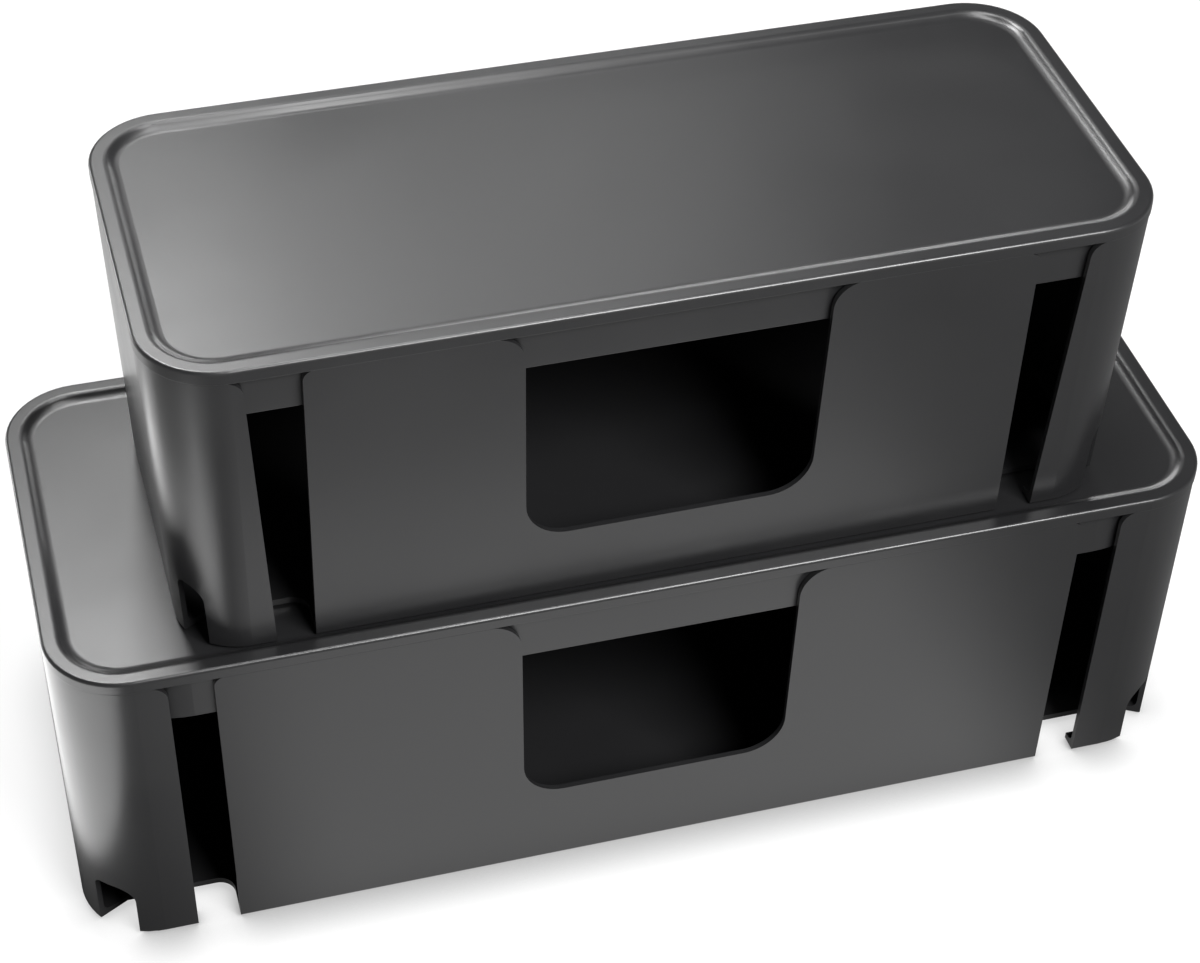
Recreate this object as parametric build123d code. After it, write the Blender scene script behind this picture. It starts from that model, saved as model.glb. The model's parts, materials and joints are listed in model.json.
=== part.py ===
from build123d import *
from dataclasses import dataclass
from math import cos, radians, sin, tan
import os

os.makedirs("parts", exist_ok=True)

# A set of two cable management boxes of one design: a large box, and a small one that stands
# in the tray of the large box's lid. Each box is a moulded base with a lift-off lid, and rests
# on four rubber feet. Millimetres, +X along the length, the cable openings at the front (-Y),
# +Z up. The origin is under the middle of the large box, where it stands.

# Large box
large_length = 415.0  # over the lid
large_depth = 156.0  # over the lid, front to back
large_height = 129.0  # from the ground to the lid's rim
large_corner = 27.0  # corner radius of the lid, seen from above
large_slot_inset = 37.5  # from the lid's end to the slot's outer edge
large_slot_top = 15.4  # slot width at the top of the wall
large_slot_foot = 15.2  # slot width at the foot of the wall
large_slot_lean = 1.2  # the slot's outer edge comes in this much down to its foot
large_window_width = 100.0  # at the top of the wall
large_window_sill = 36.0  # sill's height above the ground
large_window_lip = 12.0  # radius that rounds the wall off into the window
large_mouth_width = 14.6
large_mouth_height = 23.0
large_mouth_place = 51.0  # degrees round the corner from the end wall
large_skirt_depth = 18.7  # how far the lid's skirt reaches into the base
large_skirt_corner = 43.0  # the skirt turns the corner wider than the lid does
large_lid_clearance = 0.5  # between the skirt and the wall
large_draft = 0.1  # degrees, each wall leans in towards the ground

# Small box
small_length = 338.0
small_depth = 141.0
small_height = 122.0
small_corner = 26.0
small_slot_inset = 29.5
small_slot_top = 18.5
small_slot_foot = 13.1
small_slot_lean = 4.9
small_window_width = 102.0
small_window_sill = 28.5
small_window_lip = 10.0
small_mouth_width = 11.0
small_mouth_height = 25.5
small_mouth_place = 38.0
small_skirt_depth = 16.1
small_skirt_corner = 22.5
small_lid_clearance = 1.0
small_draft = 1.7
small_shift_x = 2.6  # where the small box was put down on the large lid
small_shift_y = -2.0
small_turn = 0.4  # degrees, it isn't quite square with the large box

# Both boxes
wall = 2.0
floor_thickness = 2.5
floor_fillet = 3.0  # inside, where the walls meet the floor
ground_edge_fillet = 0.6
window_lean = 1.3  # each side of the window comes in this much down to the sill
window_corner = 15.0  # lower corners of the window
post_lip = 6.0  # rounds the corner post off into the slot
panel_lip = 4.0  # rounds the front panel off into the slot

# Cable way under each front corner: in at the slot, behind the post, and out at the corner
notch_depth = 17.0  # how far the slot runs back into the floor
notch_corner = 6.0
post_ledge = 6.7  # floor left standing behind the post, from the wall's outer face
mouth_turn = 28.0  # degrees between the way out and the box's length
mouth_rear_radius = 3.5
mouth_front_radius = 6.5

# Lid
lid_edge = 4.8  # height of the lid's outer face
lid_thickness = 2.5
lid_overhang = 0.3  # the lid stands proud of the wall
rim_width = 5.8  # from the lid's edge to the top of the step down into the tray
tray_depth = 2.0
tray_slope = 50.0  # degrees from upright, the step
tray_fillet = 5.0  # at the bottom of the step
rim_inner_fillet = 3.0  # at the top of the step
rim_outer_fillet = 1.2
seam_fillet = 0.3  # on both sides of the joint between lid and base
skirt_thickness = 2.0
skirt_fillet = 0.5  # outside, along the lower edge

# Feet
foot_diameter = 14.0
foot_thickness = 2.0
foot_proud = 1.0  # how far a foot stands out of the floor
foot_clearance = 0.3  # round the foot in its recess
foot_edge = 0.4  # chamfer round the underside
foot_inset_x = 60.0  # from the lid's end to a foot's middle
foot_inset_y = 30.0

reach = 40.0  # cutters run this far past what they cut
stand = (Align.CENTER, Align.CENTER, Align.MIN)


@dataclass
class BoxSize:
    """Sizes of one box of the set, and the few that follow from them."""

    name: str
    length: float
    depth: float
    height: float
    corner: float
    slot_inset: float
    slot_top: float
    slot_foot: float
    slot_lean: float
    window_width: float
    window_sill: float
    window_lip: float
    mouth_width: float
    mouth_height: float
    mouth_place: float
    skirt_depth: float
    skirt_corner: float
    lid_clearance: float
    draft: float

    @property
    def wall_top(self):
        return self.height - lid_edge

    @property
    def wall_height(self):
        return self.wall_top - foot_proud

    @property
    def lean(self):
        """How far the outer face comes in from the wall's top to its foot."""
        return self.wall_height * tan(radians(self.draft))

    @property
    def front(self):
        """Y of the front wall's outer face at its foot."""
        return -self.depth / 2 + lid_overhang + self.lean


def rounded_plan(box, inset, corner):
    """A rounded outline drawn in from the lid's, seen from above."""
    return RectangleRounded(box.length - 2 * inset, box.depth - 2 * inset, corner)


def drafted_block(box, inset, corner, top, height):
    """A solid under such an outline, from the top down, with the walls' draft."""
    outline = Plane.XY.offset(top) * rounded_plan(box, inset, corner)
    return extrude(outline, amount=height, dir=(0, 0, -1), taper=box.draft)


def slot_edges(box):
    """X of the right-hand slot's inner and outer edge, at the wall's top and at its foot."""
    outer_top = box.length / 2 - box.slot_inset
    inner_top = outer_top - box.slot_top
    outer_foot = outer_top - box.slot_lean
    inner_foot = outer_foot - box.slot_foot
    return inner_top, outer_top, inner_foot, outer_foot


def front_cutter(box, top, foot_height, foot, top_radii, foot_radius):
    """A cut through the front wall, open at its top, from one X to another.

    top and foot are (left, right) at the wall's top and at the cut's foot. The wall ends that
    the cut leaves are rounded by top_radii, and the cut's own lower corners by foot_radius.
    """
    left_radius, right_radius = top_radii
    far_left = top[0] - left_radius - wall
    far_right = top[1] + right_radius + wall
    above = box.wall_top + lid_edge
    profile = Polygon(
        (far_left, above),
        (far_left, box.wall_top),
        (top[0], box.wall_top),
        (foot[0], foot_height),
        (foot[1], foot_height),
        (top[1], box.wall_top),
        (far_right, box.wall_top),
        (far_right, above),
        align=None,
    )
    profile = fillet(nearest_vertex(profile, top[0], box.wall_top), left_radius)
    profile = fillet(nearest_vertex(profile, top[1], box.wall_top), right_radius)
    if foot_radius:
        profile = fillet(profile.vertices().group_by(Axis.Y)[0], foot_radius)
    start = Plane((0, box.front + wall + floor_fillet, 0), x_dir=(1, 0, 0), z_dir=(0, -1, 0))
    return extrude(start * profile, amount=reach, dir=(0, -1, 0))


def nearest_vertex(profile, x, y):
    return profile.vertices().sort_by_distance((x, y, 0))[0]


def slot_cutter(box):
    """The right-hand slot, open at the wall's top and at the ground."""
    inner_top, outer_top, inner_foot, outer_foot = slot_edges(box)
    radii = (panel_lip, post_lip)
    return front_cutter(box, (inner_top, outer_top), foot_proud, (inner_foot, outer_foot), radii, 0)


def window_cutter(box):
    """The middle window, with a sill and round lower corners."""
    half_top = box.window_width / 2
    half_sill = half_top - window_lean
    radii = (box.window_lip, box.window_lip)
    return front_cutter(
        box, (-half_top, half_top), box.window_sill, (-half_sill, half_sill), radii, window_corner
    )


def mouth_frame(box):
    """The middle of the right-hand corner mouth, and the direction out through it."""
    foot_inset = lid_overhang + box.lean
    radius = box.corner - foot_inset
    place = radians(box.mouth_place)
    middle = Vector(
        box.length / 2 - foot_inset - radius + radius * cos(place),
        box.front + radius - radius * sin(place),
        foot_proud,
    )
    outward = Vector(cos(radians(mouth_turn)), -sin(radians(mouth_turn)), 0)
    return middle, outward


def mouth_cutter(box):
    """The way out through the corner post's side, with a rounded top."""
    middle, outward = mouth_frame(box)
    start = middle - outward * (2 * wall + floor_fillet)
    plane = Plane(start, x_dir=outward.cross(Vector(0, 0, -1)), z_dir=outward)
    profile = Pos(0, box.mouth_height / 2) * Rectangle(box.mouth_width, box.mouth_height)
    top_corners = profile.vertices().group_by(Axis.Y)[-1].sort_by(Axis.X)
    profile = fillet(top_corners[0], mouth_front_radius)
    top_corners = profile.vertices().group_by(Axis.Y)[-1].sort_by(Axis.X)
    profile = fillet(top_corners[-1], mouth_rear_radius)
    return extrude(plane * profile, amount=reach, dir=outward)


def cable_way_cutter(box):
    """The right-hand cut in the floor, from the slot past the post's ledge to the mouth."""
    middle, outward = mouth_frame(box)
    inner_foot, outer_foot = slot_edges(box)[2:]
    back = box.front + notch_depth
    ledge = box.front + post_ledge
    across = Vector(sin(radians(mouth_turn)), cos(radians(mouth_turn)), 0)
    rear_start = middle + across * (box.mouth_width / 2)
    front_start = middle - across * (box.mouth_width / 2)
    slope = tan(radians(mouth_turn))
    rear_bend = rear_start.X - (back - rear_start.Y) / slope
    front_bend = front_start.X - (ledge - front_start.Y) / slope
    rear_out = rear_start + outward * reach
    front_out = front_start + outward * reach
    outline = Polygon(
        (inner_foot, box.front - reach),
        (inner_foot, back),
        (rear_bend, back),
        (rear_out.X, rear_out.Y),
        (front_out.X, front_out.Y),
        (front_bend, ledge),
        (outer_foot, ledge),
        (outer_foot, box.front - reach),
        align=None,
    )
    outline = fillet(nearest_vertex(outline, inner_foot, back), notch_corner)
    over_floor = foot_proud + floor_thickness + floor_fillet
    return extrude(Pos(0, 0, over_floor) * outline, amount=reach, dir=(0, 0, -1))


def foot_places(box):
    x = box.length / 2 - foot_inset_x
    y = box.depth / 2 - foot_inset_y
    return [(-x, -y), (x, -y), (-x, y), (x, y)]


def make_base(box):
    """The open-topped base: drafted walls, slots, window, cable ways and foot recesses."""
    outer = drafted_block(box, lid_overhang, box.corner - lid_overhang, box.wall_top, box.wall_height)
    outer = fillet(outer.edges().group_by(Axis.Z)[0], ground_edge_fillet)
    outer = fillet(outer.edges().group_by(Axis.Z)[-1], seam_fillet)
    inset = lid_overhang + wall
    hollow_height = box.wall_height - floor_thickness
    hollow = drafted_block(box, inset, box.corner - inset, box.wall_top, hollow_height)
    hollow = fillet(hollow.edges().group_by(Axis.Z)[0], floor_fillet)
    base = outer - hollow

    slot = slot_cutter(box)
    base -= slot
    base -= mirror(slot, about=Plane.YZ)
    base -= window_cutter(box)

    for cutter in (mouth_cutter(box), cable_way_cutter(box)):
        base -= cutter
        base -= mirror(cutter, about=Plane.YZ)

    recess_depth = foot_thickness - foot_proud
    recess = Cylinder(foot_diameter / 2 + foot_clearance, recess_depth, align=stand)
    for x, y in foot_places(box):
        base -= Pos(x, y, foot_proud) * recess
    return base


def make_lid(box):
    """The lift-off lid: a tray inside a raised rim, and a skirt that drops into the base."""
    plate = Pos(0, 0, box.wall_top) * extrude(rounded_plan(box, 0, box.corner), amount=lid_edge)
    plate = fillet(plate.edges().group_by(Axis.Z)[-1], rim_outer_fillet)
    plate = fillet(plate.edges().group_by(Axis.Z)[0], seam_fillet)

    opening = Plane.XY.offset(box.height) * rounded_plan(box, rim_width, box.corner - rim_width)
    tray = extrude(opening, amount=tray_depth, dir=(0, 0, -1), taper=tray_slope)
    tray = fillet(tray.edges().group_by(Axis.Z)[0], tray_fillet)
    lid = plate - tray
    rim_face = lid.faces().sort_by(Axis.Z)[-1]
    lid = fillet(rim_face.inner_wires()[0].edges(), rim_inner_fillet)

    inset = lid_overhang + wall + box.lid_clearance
    skirt = drafted_block(box, inset, box.skirt_corner, box.wall_top, box.skirt_depth)
    skirt = fillet(skirt.edges().group_by(Axis.Z)[0], skirt_fillet)
    inset += skirt_thickness
    corner = box.skirt_corner - skirt_thickness
    inside_top = box.height - tray_depth - lid_thickness
    inside_height = inside_top - (box.wall_top - box.skirt_depth)
    inside = drafted_block(box, inset, corner, inside_top, inside_height)
    return (lid + skirt) - inside


def make_foot(x, y):
    foot = Cylinder(foot_diameter / 2, foot_thickness, align=stand)
    foot = chamfer(foot.edges().group_by(Axis.Z)[0], foot_edge)
    return Pos(x, y, 0) * foot


def make_box(box, place):
    """All the pieces of one box by node name, at its place."""
    pieces = {
        f"{box.name}_base": make_base(box),
        f"{box.name}_lid": make_lid(box),
    }
    corners = ("front_left", "front_right", "rear_left", "rear_right")
    for corner, (x, y) in zip(corners, foot_places(box)):
        pieces[f"{box.name}_foot_{corner}"] = make_foot(x, y)
    return {name: place * piece for name, piece in pieces.items()}


large = BoxSize(
    name="large",
    length=large_length,
    depth=large_depth,
    height=large_height,
    corner=large_corner,
    slot_inset=large_slot_inset,
    slot_top=large_slot_top,
    slot_foot=large_slot_foot,
    slot_lean=large_slot_lean,
    window_width=large_window_width,
    window_sill=large_window_sill,
    window_lip=large_window_lip,
    mouth_width=large_mouth_width,
    mouth_height=large_mouth_height,
    mouth_place=large_mouth_place,
    skirt_depth=large_skirt_depth,
    skirt_corner=large_skirt_corner,
    lid_clearance=large_lid_clearance,
    draft=large_draft,
)
small = BoxSize(
    name="small",
    length=small_length,
    depth=small_depth,
    height=small_height,
    corner=small_corner,
    slot_inset=small_slot_inset,
    slot_top=small_slot_top,
    slot_foot=small_slot_foot,
    slot_lean=small_slot_lean,
    window_width=small_window_width,
    window_sill=small_window_sill,
    window_lip=small_window_lip,
    mouth_width=small_mouth_width,
    mouth_height=small_mouth_height,
    mouth_place=small_mouth_place,
    skirt_depth=small_skirt_depth,
    skirt_corner=small_skirt_corner,
    lid_clearance=small_lid_clearance,
    draft=small_draft,
)
small_place = Pos(small_shift_x, small_shift_y, large_height - tray_depth) * Rot(0, 0, small_turn)

assembly = {**make_box(large, Pos(0, 0, 0)), **make_box(small, small_place)}
for node, piece in assembly.items():
    piece.label = node
    export_step(piece, f"parts/{node}.step")
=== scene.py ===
import bpy
import json
from math import radians
from mathutils import Matrix, Vector

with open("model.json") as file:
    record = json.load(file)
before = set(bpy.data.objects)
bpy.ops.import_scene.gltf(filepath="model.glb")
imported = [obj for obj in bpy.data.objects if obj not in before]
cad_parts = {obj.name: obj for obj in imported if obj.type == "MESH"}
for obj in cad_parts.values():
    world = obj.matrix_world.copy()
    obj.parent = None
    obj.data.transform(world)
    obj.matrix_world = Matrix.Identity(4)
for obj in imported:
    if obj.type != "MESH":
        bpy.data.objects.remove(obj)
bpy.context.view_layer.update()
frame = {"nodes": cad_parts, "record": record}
nodes = frame["nodes"]
mm = 0.001
print("frame:", len(nodes), "nodes")


def linear(hexColour):
    # sRGB hex to the linear colour that a shader takes
    parts = [int(hexColour[i:i + 2], 16) / 255 for i in (1, 3, 5)]
    return tuple(p / 12.92 if p <= 0.04045 else ((p + 0.055) / 1.055) ** 2.4 for p in parts) + (1.0,)


def addNode(tree, kind, inputs=None, **settings):
    # a socket given as an input is linked, any other value is set
    node = tree.nodes.new(kind)
    for name, value in settings.items():
        setattr(node, name, value)
    for name, value in (inputs or {}).items():
        if isinstance(value, bpy.types.NodeSocket):
            tree.links.new(value, node.inputs[name])
        else:
            node.inputs[name].default_value = value
    return node


def addNoise(tree, place, sizeMm, detail, roughness=0.5, distortion=0.0):
    # sizeMm is how large the pattern's patches are on the real piece
    noise = addNode(
        tree,
        "ShaderNodeTexNoise",
        {"Vector": place, "Scale": 1 / (sizeMm * mm), "Detail": detail, "Roughness": roughness,
         "Distortion": distortion},
    )
    return noise.outputs["Fac"]


def addBump(tree, height, depthMm, **under):
    # Normal=, where given, is the coarser bump that this one lies on
    bump = addNode(tree, "ShaderNodeBump", {"Height": height, "Distance": depthMm * mm, **under})
    return bump.outputs["Normal"]


def addRange(tree, value, ends, results, curve="LINEAR"):
    # the two results belong to the value's two ends, and it holds still outside them
    scaled = addNode(
        tree,
        "ShaderNodeMapRange",
        {"Value": value, "From Min": ends[0], "From Max": ends[1], "To Min": results[0],
         "To Max": results[1]},
        interpolation_type=curve,
    )
    return scaled.outputs["Result"]


def addMath(tree, kind, *values):
    return addNode(tree, "ShaderNodeMath", dict(enumerate(values)), operation=kind).outputs[0]


def addColourMix(tree, factor, plain, tint):
    inputs = {"Factor": factor, "A": linear(plain), "B": linear(tint)}
    return addNode(tree, "ShaderNodeMix", inputs, data_type="RGBA").outputs["Result"]


def addSurface(tree, look, colour, roughness, normal):
    shader = addNode(
        tree,
        "ShaderNodeBsdfPrincipled",
        {"Base Color": colour, "Roughness": roughness, "IOR": look["ior"], "Normal": normal},
    )
    addNode(tree, "ShaderNodeOutputMaterial", {"Surface": shader.outputs["BSDF"]})


def newMaterial(name):
    material = bpy.data.materials.new(name)
    material.use_nodes = True
    tree = material.node_tree
    tree.nodes.clear()
    return material, tree


# Moulded ABS, coloured charcoal in the mass and moulded against a spark-eroded steel face. The
# face leaves a fine even grain that spreads each highlight into a soft satin sheen.
mouldedAbs = {
    "charcoal": "#1e1e1f",
    "flowTint": "#232324",  # where the melt cooled last it is a little lighter
    "ior": 1.58,
    "flow": {"sizeMm": 60.0, "detail": 4.0, "roughness": 0.55, "distortion": 0.3},  # cloudy patches
    "flowEnds": (0.2, 0.8),  # the clearest and the cloudiest patches
    "roughness": (0.28, 0.36),  # in the clearest and in the cloudiest
    "grain": {"sizeMm": 0.55, "detail": 2.0},  # the real grain is about 0.1 mm, too fine to show here
    "grainDepthMm": 0.012,
    "sink": {"sizeMm": 45.0, "detail": 1.0},  # the walls aren't dead flat where they shrank
    "sinkDepthMm": 0.03,
}


def makeMouldedAbs(look):
    material, tree = newMaterial("mouldedAbs")
    place = addNode(tree, "ShaderNodeTexCoord").outputs["Object"]
    flow = addNoise(tree, place, **look["flow"])
    colour = addColourMix(tree, flow, look["charcoal"], look["flowTint"])
    roughness = addRange(tree, flow, look["flowEnds"], look["roughness"], "SMOOTHSTEP")
    grain = addNoise(tree, place, **look["grain"])
    sink = addNoise(tree, place, **look["sink"])
    sunk = addBump(tree, sink, look["sinkDepthMm"])
    grained = addBump(tree, grain, look["grainDepthMm"], Normal=sunk)
    addSurface(tree, look, colour, roughness, grained)
    return material


# Synthetic rubber, pressed into pads. It is dead matt and greys a little with dust and bloom.
pressedRubber = {
    "black": "#1b1b1b",
    "greyed": "#2b2b2a",
    "roughness": 0.82,
    "ior": 1.52,
    "bloom": {"sizeMm": 5.0, "detail": 5.0},
    "pores": {"sizeMm": 0.4, "detail": 2.0},
    "poreDepthMm": 0.02,
}


def makePressedRubber(look):
    material, tree = newMaterial("pressedRubber")
    place = addNode(tree, "ShaderNodeTexCoord").outputs["Object"]
    bloom = addNoise(tree, place, **look["bloom"])
    colour = addColourMix(tree, bloom, look["black"], look["greyed"])
    pores = addNoise(tree, place, **look["pores"])
    pitted = addBump(tree, pores, look["poreDepthMm"])
    addSurface(tree, look, colour, look["roughness"], pitted)
    return material


finishes = {
    "moulded_abs": makeMouldedAbs(mouldedAbs),
    "foot_rubber": makePressedRubber(pressedRubber),
}
for part in frame["record"]["subparts"]:
    piece = nodes[part["node"]]
    piece.data.materials.clear()
    piece.data.materials.append(finishes[part["material_slot"]])
print("materials:", len(finishes))

# White paper sweep. The camera sees it as clear white, with a soft shadow painted into its glow close
# round the feet.
# Gloss on the plastic sees painted reflections: pools of glow in front of the boxes and behind them,
# glow farther out, and the bare darker paper in between. Places and widths are in metres.
paperFloor = {
    "width": 8.0,
    "paper": "#707070",
    "glow": 0.86,  # with the lamps' own light on the paper it comes out white
    "shadowMm": 18.0,  # how far the painted shadow reaches
    "shadowSamples": 16,
    "openness": (0.5, 1.0),  # right against a wall half of the room is hidden
    "shadowGlow": (0.12, 0.66),  # glow of the painted shadow right against the front, and against the sides and the back
    "shadowEnds": (-0.095, -0.055),  # from the one to the other, front to back
    # glow that only gloss sees, which paints reflections into the plastic
    "paintedReflectionPools": {
        "front": {"X": (-0.145, 0.16), "Y": (-0.26, -0.06), "edge": 0.04, "glow": 1.0},
        "behind": {"X": (-0.50, 0.10), "Y": (0.06, 0.60), "edge": 0.04, "glow": 1.0},
    },
    "farOut": (0.55, 1.0),  # from the middle of the boxes
    "farSeen": 1.0,
    "farGlow": 0.6,
}


def addPaintedReflectionPool(tree, axes, pool):
    # a painted reflection: its glow within the pool's two ranges, nothing outside them, with a soft
    # edge
    parts = []
    for axis in "XY":
        low, high = pool[axis]
        half = (high - low) / 2
        fromMiddle = addMath(tree, "ABSOLUTE", addMath(tree, "SUBTRACT", axes[axis], (low + high) / 2))
        edge = (half - pool["edge"], half + pool["edge"])
        parts.append(addRange(tree, fromMiddle, edge, (1.0, 0.0), "SMOOTHSTEP"))
    return addMath(tree, "MULTIPLY", addMath(tree, "MULTIPLY", *parts), pool["glow"])


def makePaperFloor(look):
    half = look["width"] / 2
    corners = [(-half, -half, 0), (half, -half, 0), (half, half, 0), (-half, half, 0)]
    mesh = bpy.data.meshes.new("paperFloor")
    mesh.from_pydata(corners, [], [(0, 1, 2, 3)])
    floor = bpy.data.objects.new("paperFloor", mesh)
    bpy.context.scene.collection.objects.link(floor)

    material, tree = newMaterial("whitePaper")
    ray = addNode(tree, "ShaderNodeLightPath").outputs
    seen = addMath(tree, "MAXIMUM", ray["Is Camera Ray"], ray["Is Transmission Ray"])
    place = addNode(tree, "ShaderNodeTexCoord").outputs["Object"]
    axes = addNode(tree, "ShaderNodeSeparateXYZ", {"Vector": place}).outputs
    distance = addNode(tree, "ShaderNodeVectorMath", {0: place}, operation="LENGTH").outputs["Value"]

    # what the camera sees, with a painted shadow close round the boxes, deepest in front
    paintedShadowDeepest = addRange(tree, axes["Y"], look["shadowEnds"], look["shadowGlow"])
    openness = addNode(
        tree,
        "ShaderNodeAmbientOcclusion",
        {"Distance": look["shadowMm"] * mm},
        samples=look["shadowSamples"],
    ).outputs["AO"]
    glowWithPaintedShadow = addRange(tree, openness, look["openness"], (paintedShadowDeepest, look["glow"]))
    farOff = addRange(tree, distance, look["farOut"], (0.0, look["farSeen"]))
    cameraGlow = addMath(tree, "MULTIPLY", seen, addMath(tree, "MAXIMUM", glowWithPaintedShadow, farOff))

    # what gloss sees: painted reflections of the glowing pools and the far floor
    paintedReflectionLevel = addRange(tree, distance, look["farOut"], (0.0, look["farGlow"]))
    for pool in look["paintedReflectionPools"].values():
        paintedReflectionLevel = addMath(tree, "MAXIMUM", paintedReflectionLevel, addPaintedReflectionPool(tree, axes, pool))
    paintedReflectionGlow = addMath(tree, "MULTIPLY", ray["Is Glossy Ray"], paintedReflectionLevel)

    glow = addMath(tree, "MAXIMUM", cameraGlow, paintedReflectionGlow)
    paper = addNode(tree, "ShaderNodeBsdfDiffuse", {"Color": linear(look["paper"])})
    light = addNode(tree, "ShaderNodeEmission", {"Strength": glow})
    both = addNode(tree, "ShaderNodeAddShader", {0: paper.outputs[0], 1: light.outputs[0]})
    addNode(tree, "ShaderNodeOutputMaterial", {"Surface": both.outputs[0]})
    mesh.materials.append(material)


makePaperFloor(paperFloor)
print("floor: laid")

# Where each softbox stands and what it points at, in metres, its width and height, and its power
# in watts. The rear four lay the sheen along the lids, and the key lights the front walls. The low
# ones at the back draw the lines along the trays' steps, and the panel by the floor shows in the
# left corner posts.
softboxes = {
    "rearStrip": {
        "place": (-0.25, 0.65, 1.20), "aim": (-0.1, 0, 0.2), "size": (0.2, 0.3), "power": 8.0,
    },
    "rearMiddle": {
        "place": (-0.08, 1.05, 1.20), "aim": (0, 0, 0.2), "size": (0.18, 0.3), "power": 2.1,
    },
    "rearRight": {
        "place": (0.28, 1.05, 1.20), "aim": (0, 0, 0.2), "size": (0.34, 0.5), "power": 1.2,
    },
    "rearLeft": {
        "place": (-0.78, 0.95, 1.20), "aim": (0, 0, 0.2), "size": (0.35, 0.3), "power": 2.4,
    },
    "top": {
        "place": (0.04, 0.0, 1.20), "aim": (0.04, 0.0, 0), "size": (0.22, 0.75), "power": 6.2,
    },
    "keyRight": {
        "place": (0.42, -1.00, 1.20), "aim": (0, 0, 0.2), "size": (0.7, 0.5), "power": 33.0,
    },
    "backRight": {
        "place": (0.45, 1.45, 0.22), "aim": (0, 0, 0.2), "size": (0.75, 0.44), "power": 7.0,
    },
    "backLeft": {
        "place": (-1.05, 1.05, 0.11), "aim": (0, 0, 0.2), "size": (0.4, 0.2), "power": 3.5,
    },
    "floorLeft": {
        "place": (-0.28, -0.03, 0.01), "aim": (-0.28, -0.03, 1.0), "size": (0.11, 0.36), "power": 0.36,
    },
}


def makeSoftbox(name, box):
    lamp = bpy.data.lights.new(name, "AREA")
    lamp.shape = "RECTANGLE"
    lamp.size, lamp.size_y = box["size"]
    lamp.energy = box["power"]
    softbox = bpy.data.objects.new(name, lamp)
    softbox.location = box["place"]
    backwards = Vector(box["place"]) - Vector(box["aim"])
    softbox.rotation_euler = backwards.to_track_quat("Z", "Y").to_euler()
    softbox.visible_camera = False
    bpy.context.scene.collection.objects.link(softbox)


for name, box in softboxes.items():
    makeSoftbox(name, box)

# The room is dim overhead and lighter towards the horizon. The camera sees it as white.
room = {
    "colour": "#ffffff",
    "horizon": 0.40,
    "overhead": 0.02,
    "fade": (0.05, 0.45),  # how far up the one gives way to the other, 0 level and 1 overhead
    "seen": 1.0,
}


def makeRoom(look):
    world = bpy.data.worlds.new("studio")
    bpy.context.scene.world = world
    world.use_nodes = True
    tree = world.node_tree
    tree.nodes.clear()
    ray = addNode(tree, "ShaderNodeLightPath").outputs
    direction = addNode(tree, "ShaderNodeTexCoord").outputs["Generated"]
    upward = addNode(tree, "ShaderNodeSeparateXYZ", {"Vector": direction}).outputs["Z"]
    dim = addRange(tree, upward, look["fade"], (look["horizon"], look["overhead"]), "SMOOTHSTEP")
    strength = addNode(
        tree,
        "ShaderNodeMix",
        {"Factor": ray["Is Camera Ray"], "A": dim, "B": look["seen"]},
        data_type="FLOAT",
    ).outputs["Result"]
    sky = addNode(tree, "ShaderNodeBackground", {"Color": linear(look["colour"]), "Strength": strength})
    addNode(tree, "ShaderNodeOutputWorld", {"Surface": sky.outputs[0]})


makeRoom(room)
print("lights:", len(softboxes))

# Long lens, looking down on the front from a little to the left
cameraSetup = {
    "place": (-0.2112, -0.6994, 0.7704),
    "turn": -16.75,  # degrees round the upright
    "tilt": 42.14,  # degrees below level
    "roll": 1.775,
    "lens": 80.98,
    "sensor": 36.0,
    "clip": (0.01, 50.0),  # nearest and farthest that it sees, in metres
}


def makeCamera(setup):
    lens = bpy.data.cameras.new("camera")
    lens.sensor_fit = "HORIZONTAL"
    lens.sensor_width = setup["sensor"]
    lens.lens = setup["lens"]
    lens.clip_start, lens.clip_end = setup["clip"]
    eye = bpy.data.objects.new("camera", lens)
    eye.matrix_world = (
        Matrix.Translation(setup["place"])
        @ Matrix.Rotation(radians(setup["turn"]), 4, "Z")
        @ Matrix.Rotation(radians(90 - setup["tilt"]), 4, "X")
        @ Matrix.Rotation(radians(setup["roll"]), 4, "Z")
    )
    bpy.context.scene.collection.objects.link(eye)
    bpy.context.scene.camera = eye


makeCamera(cameraSetup)
bpy.context.scene.view_settings.view_transform = "Standard"
print("camera: placed")
